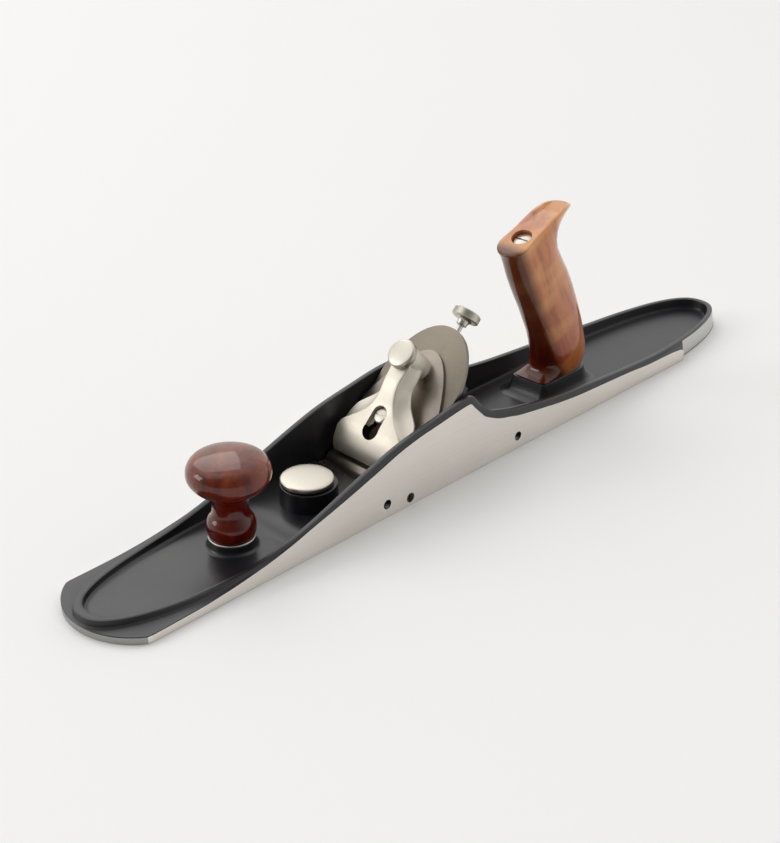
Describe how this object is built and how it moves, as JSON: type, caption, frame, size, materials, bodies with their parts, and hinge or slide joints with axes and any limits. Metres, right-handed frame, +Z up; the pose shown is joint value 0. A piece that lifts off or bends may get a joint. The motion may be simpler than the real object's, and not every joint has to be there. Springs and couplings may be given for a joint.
{
  "type": "hand plane",
  "caption": "Long iron hand plane with a closing toe plate, a 45 degree blade under a lever cap, and a turned knob and shaped handle in wood.",
  "frame": {"origin": "centre of the flat sole, midway between the toe and heel ends", "axes": "+X from the toe to the heel, +Y to the far side (away from the side with the tapped fence holes), +Z up from the sole"},
  "size_m": [0.56, 0.0714, 0.1325],
  "materials": {
    "casting": "semi-gloss black enamel, ground bare on the sole and sides",
    "toe_iron": "ground bare iron",
    "frog": "semi-gloss black enamel",
    "wood": "stained hardwood under gloss lacquer",
    "nickel": "satin nickel plate",
    "steel": "bright turned steel",
    "blade_steel": "ground tool steel",
    "breaker_steel": "polished steel",
    "brass": "turned brass"
  },
  "bodies": {
    "casting": {"body": "casting", "front_knob": "wood", "knob_ring": "steel", "knob_stud": "steel", "knob_insert": "brass", "frog": "frog", "frog_screws": "steel", "tote": "wood", "tote_rod": "steel", "tote_nut": "nickel"},
    "toe": {"toe_plate": "toe_iron", "toe_lock_stud": "steel", "toe_lock_washer": "steel"},
    "toe_lock": {"toe_lock_knob": "nickel"},
    "toe_stop": {"toe_stop_screw": "steel"},
    "lateral": {"pivot_barrel": "steel"},
    "adjuster": {"feed_rod": "steel", "adjuster_wheel": "nickel"},
    "blade_set": {"feed_carrier": "steel", "blade": "blade_steel", "chip_breaker": "breaker_steel", "chip_breaker_screw": "steel"},
    "cap": {"lever_cap": "nickel"},
    "thumb": {"lever_knob": "nickel"},
    "cap_screw": {"lever_cap_screw": "nickel"},
    "near_screw": {"set_screw_near": "steel"},
    "far_screw": {"set_screw_far": "steel"}
  },
  "joints": [
    {"name": "toe_slide", "type": "slide", "parent": "casting", "child": "toe", "axis": [1, 0, 0], "range_m": [-0.006, 0.001]},
    {"name": "toe_lock_turn", "type": "hinge", "parent": "toe", "child": "toe_lock", "pos_m": [-0.118, 0, 0.02], "axis": [0, 0, 1], "range_deg": [0, 360]},
    {"name": "toe_stop_turn", "type": "hinge", "parent": "casting", "child": "toe_stop", "pos_m": [-0.109, 0, 0.0127], "axis": [1, 0, 0], "range_deg": [-360, 720]},
    {"name": "lateral_swing", "type": "hinge", "parent": "casting", "child": "lateral", "pos_m": [-0.01876, 0, 0.05374], "axis": [-0.7071, 0, 0.7071], "range_deg": [-0.8, 0.8]},
    {"name": "adjust_turn", "type": "hinge", "parent": "lateral", "child": "adjuster", "pos_m": [-0.01551, 0, 0.05049], "axis": [0.7071, 0, 0.7071], "range_deg": [-577, 1081]},
    {"name": "blade_feed", "type": "slide", "parent": "lateral", "child": "blade_set", "axis": [0.7071, 0, 0.7071], "range_m": [-0.0016, 0.003]},
    {"name": "lever_cap_slide", "type": "slide", "parent": "casting", "child": "cap", "axis": [0.7071, 0, 0.7071], "range_m": [0, 0.0108]},
    {"name": "lever_knob_turn", "type": "hinge", "parent": "cap", "child": "thumb", "pos_m": [-0.03241, 0, 0.06838], "axis": [-0.7071, 0, 0.7071], "range_deg": [0, 540]},
    {"name": "lever_screw_turn", "type": "hinge", "parent": "casting", "child": "cap_screw", "pos_m": [-0.04436, 0, 0.02814], "axis": [-0.7071, 0, 0.7071], "range_deg": [-180, 360]},
    {"name": "set_screw_near_turn", "type": "hinge", "parent": "casting", "child": "near_screw", "pos_m": [-0.06964, -0.033, 0.00534], "axis": [0, 1, 0], "range_deg": [-180, 360]},
    {"name": "set_screw_far_turn", "type": "hinge", "parent": "casting", "child": "far_screw", "pos_m": [-0.06964, 0.033, 0.00534], "axis": [0, 1, 0], "range_deg": [-180, 360]}
  ],
  "couplings": [
    {"joint": "adjust_turn", "follows": "blade_feed", "rad_per_m": 6283.2}
  ]
}
